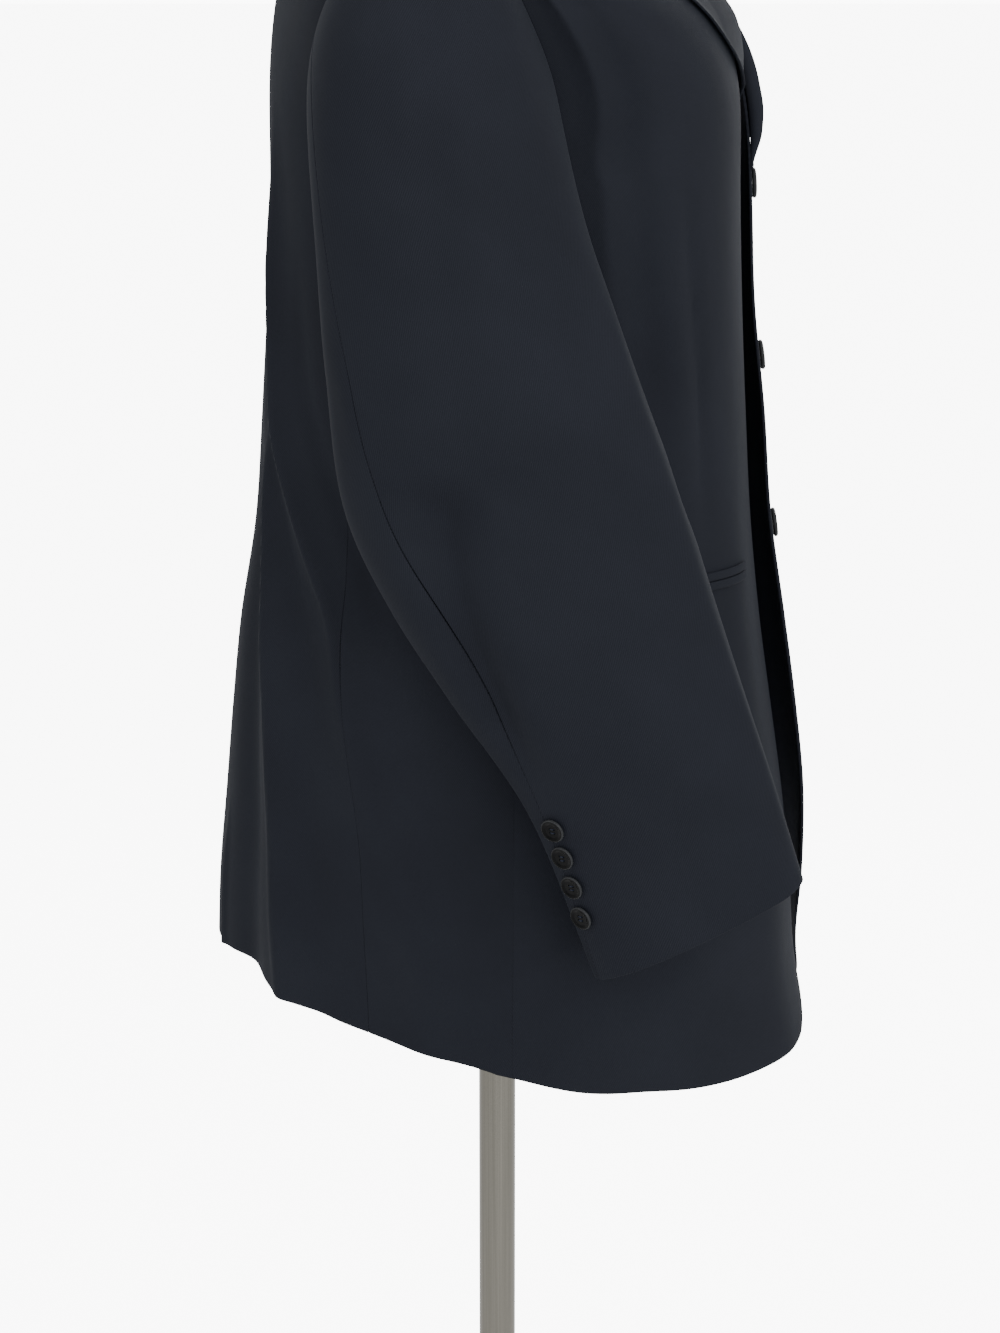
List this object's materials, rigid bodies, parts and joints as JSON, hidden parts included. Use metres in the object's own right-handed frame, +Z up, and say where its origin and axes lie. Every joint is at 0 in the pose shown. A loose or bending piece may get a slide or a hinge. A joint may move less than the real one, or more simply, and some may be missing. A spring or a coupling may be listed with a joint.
{
  "type": "suit jacket on dress form",
  "caption": "Dark single-breasted suit jacket with notched lapels and jetted pockets, worn by a limbless dress form on a pole stand with a round base.",
  "frame": {"origin": "centre of the stand base's flat underside, on the pole's axis", "axes": "+Z up along the pole, -Y the jacket's front, -X the wearer's right"},
  "size_m": [0.5788, 0.4097, 1.625],
  "materials": {
    "suiting": "matte",
    "horn": "satin",
    "form_cover": "matte",
    "form_wood": "satin",
    "pole_steel": "polished",
    "base_steel": "satin"
  },
  "bodies": {
    "root": {"collar": "suiting", "right_back": "suiting", "right_front": "suiting", "right_side_panel": "suiting", "right_lapel": "suiting", "right_top_sleeve": "suiting", "right_under_sleeve": "suiting", "right_pocket_upper_jet": "suiting", "right_pocket_lower_jet": "suiting", "left_back": "suiting", "left_front": "suiting", "left_side_panel": "suiting", "left_lapel": "suiting", "left_top_sleeve": "suiting", "left_under_sleeve": "suiting", "left_pocket_upper_jet": "suiting", "left_pocket_lower_jet": "suiting", "front_button_1": "horn", "front_button_2": "horn", "front_button_3": "horn", "right_cuff_button_1": "horn", "right_cuff_button_2": "horn", "right_cuff_button_3": "horn", "right_cuff_button_4": "horn", "left_cuff_button_1": "horn", "left_cuff_button_2": "horn", "left_cuff_button_3": "horn", "left_cuff_button_4": "horn", "form_torso": "form_cover", "form_neck_cap": "form_wood", "stand_pole": "pole_steel", "stand_hub": "pole_steel", "stand_base": "base_steel"}
  },
  "joints": []
}
